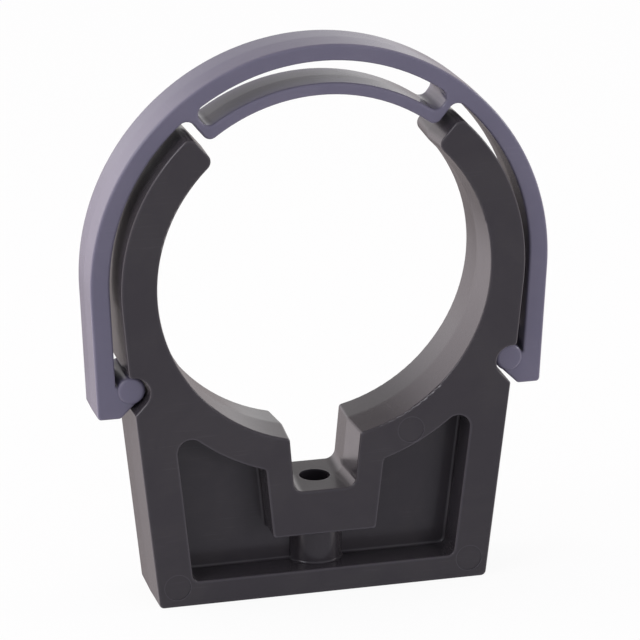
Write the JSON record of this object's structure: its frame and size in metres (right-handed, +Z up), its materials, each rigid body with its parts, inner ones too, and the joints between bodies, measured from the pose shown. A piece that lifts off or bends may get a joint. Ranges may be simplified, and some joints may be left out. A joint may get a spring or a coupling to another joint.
{
  "type": "pipe clip",
  "caption": "Moulded pipe clip: a tapered saddle whose arms cradle a pipe, with a screw hole in a notch, and a hooped strap with a sprung inner arc that closes over the pipe.",
  "frame": {"origin": "middle of the base's underside", "axes": "+Z up from the base through the pipe's axis, +Y along the pipe, +X across the clip"},
  "size_m": [0.1046, 0.0188, 0.1271],
  "materials": {
    "saddle_plastic": "black moulded plastic with a satin sheen",
    "strap_plastic": "blue-grey moulded plastic with a satin sheen"
  },
  "bodies": {
    "saddle": {"saddle_body": "saddle_plastic"},
    "strap": {"retaining_strap": "strap_plastic"}
  },
  "joints": [
    {"name": "strap_slide", "type": "slide", "parent": "saddle", "child": "strap", "axis": [0, 1, 0], "range_m": [-0.015, 0.015]}
  ]
}
